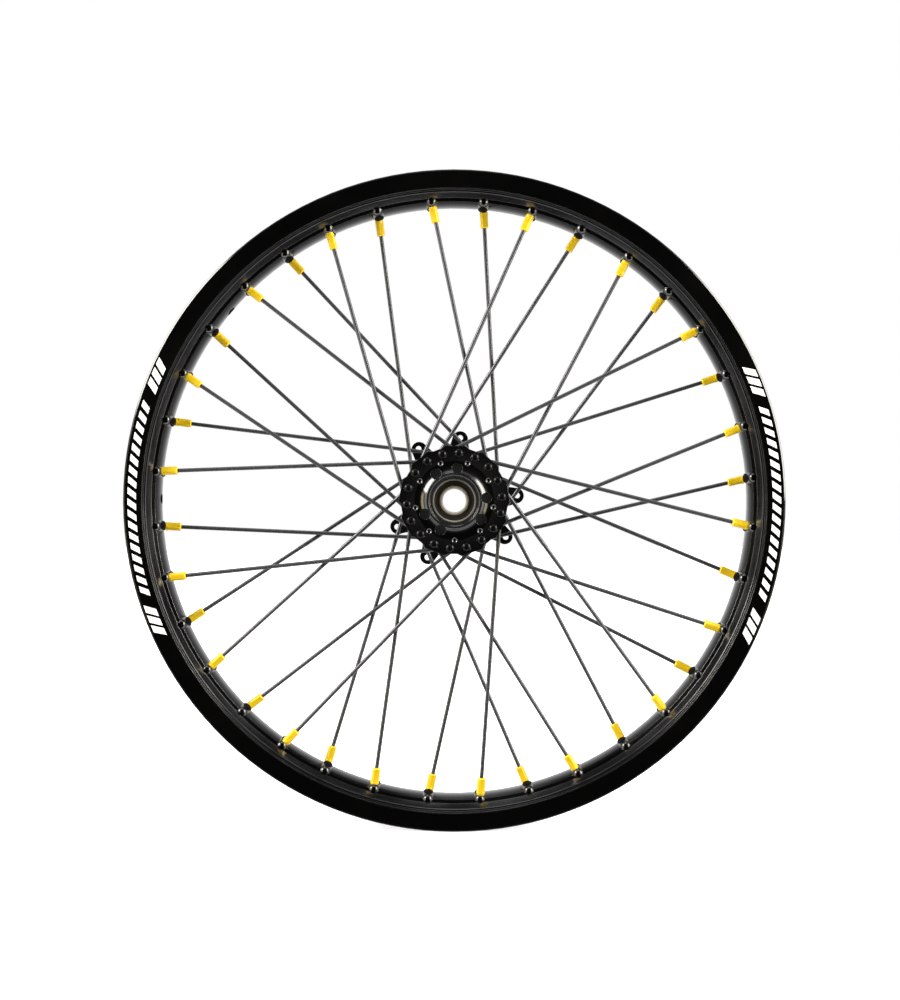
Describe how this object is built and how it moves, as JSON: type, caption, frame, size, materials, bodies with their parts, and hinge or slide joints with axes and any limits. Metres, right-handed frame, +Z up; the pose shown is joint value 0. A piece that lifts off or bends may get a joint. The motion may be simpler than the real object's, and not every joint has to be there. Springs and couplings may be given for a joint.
{
  "type": "spoked wheel",
  "caption": "Round wire-spoked motorcycle front wheel: drop-centre rim, tangentially laced spokes with nipples, flanged hub with disc lugs and sealed ball bearings.",
  "frame": {"origin": "middle of the axle bore, on the wheel's centre plane", "axes": "+Y along the axle towards the brake disc side, +Z up, +X to the right seen from the front side"},
  "size_m": [0.562, 0.077, 0.562],
  "materials": {
    "black_rim": "gloss black anodised",
    "black_hub": "gloss black anodised",
    "black_spoke": "semi-gloss black coated steel",
    "gold_nipple": "gold anodised",
    "bearing_steel": "ground steel",
    "ball_steel": "polished",
    "cage_steel": "pressed steel",
    "seal_rubber": "matt black rubber",
    "spacer_steel": "turned",
    "printed_film": "printed film"
  },
  "bodies": {
    "axle_core": {"front_bearing_inner_race": "bearing_steel", "rear_bearing_inner_race": "bearing_steel", "bearing_spacer_tube": "spacer_steel"},
    "wheel": {"rim": "black_rim", "hub_shell": "black_hub", "spoke_01": "black_spoke", "spoke_02": "black_spoke", "spoke_03": "black_spoke", "spoke_04": "black_spoke", "spoke_05": "black_spoke", "spoke_06": "black_spoke", "spoke_07": "black_spoke", "spoke_08": "black_spoke", "spoke_09": "black_spoke", "spoke_10": "black_spoke", "spoke_11": "black_spoke", "spoke_12": "black_spoke", "spoke_13": "black_spoke", "spoke_14": "black_spoke", "spoke_15": "black_spoke", "spoke_16": "black_spoke", "spoke_17": "black_spoke", "spoke_18": "black_spoke", "spoke_19": "black_spoke", "spoke_20": "black_spoke", "spoke_21": "black_spoke", "spoke_22": "black_spoke", "spoke_23": "black_spoke", "spoke_24": "black_spoke", "spoke_25": "black_spoke", "spoke_26": "black_spoke", "spoke_27": "black_spoke", "spoke_28": "black_spoke", "spoke_29": "black_spoke", "spoke_30": "black_spoke", "spoke_31": "black_spoke", "spoke_32": "black_spoke", "spoke_33": "black_spoke", "spoke_34": "black_spoke", "spoke_35": "black_spoke", "spoke_36": "black_spoke", "nipples_front_outer": "gold_nipple", "nipples_front_inner": "gold_nipple", "nipples_rear_outer": "gold_nipple", "nipples_rear_inner": "gold_nipple", "front_bearing_outer_race": "bearing_steel", "front_bearing_outer_seal": "seal_rubber", "front_bearing_inner_seal": "seal_rubber", "rim_graphic_front_left": "printed_film", "rim_graphic_front_right": "printed_film", "rear_bearing_outer_race": "bearing_steel", "rear_bearing_outer_seal": "seal_rubber", "rear_bearing_inner_seal": "seal_rubber", "rim_graphic_rear_left": "printed_film", "rim_graphic_rear_right": "printed_film"},
    "front_ball_set": {"front_bearing_balls": "ball_steel", "front_bearing_cage": "cage_steel"},
    "rear_ball_set": {"rear_bearing_balls": "ball_steel", "rear_bearing_cage": "cage_steel"}
  },
  "joints": [
    {"name": "wheel_spin", "type": "hinge", "parent": "axle_core", "child": "wheel", "pos_m": [0, 0, 0], "axis": [0, 1, 0], "continuous": true},
    {"name": "front_ball_set_spin", "type": "hinge", "parent": "axle_core", "child": "front_ball_set", "pos_m": [0, 0, 0], "axis": [0, 1, 0], "continuous": true},
    {"name": "rear_ball_set_spin", "type": "hinge", "parent": "axle_core", "child": "rear_ball_set", "pos_m": [0, 0, 0], "axis": [0, 1, 0], "continuous": true}
  ],
  "couplings": [
    {"joint": "front_ball_set_spin", "follows": "wheel_spin", "ratio": 0.5822},
    {"joint": "rear_ball_set_spin", "follows": "wheel_spin", "ratio": 0.5822}
  ]
}
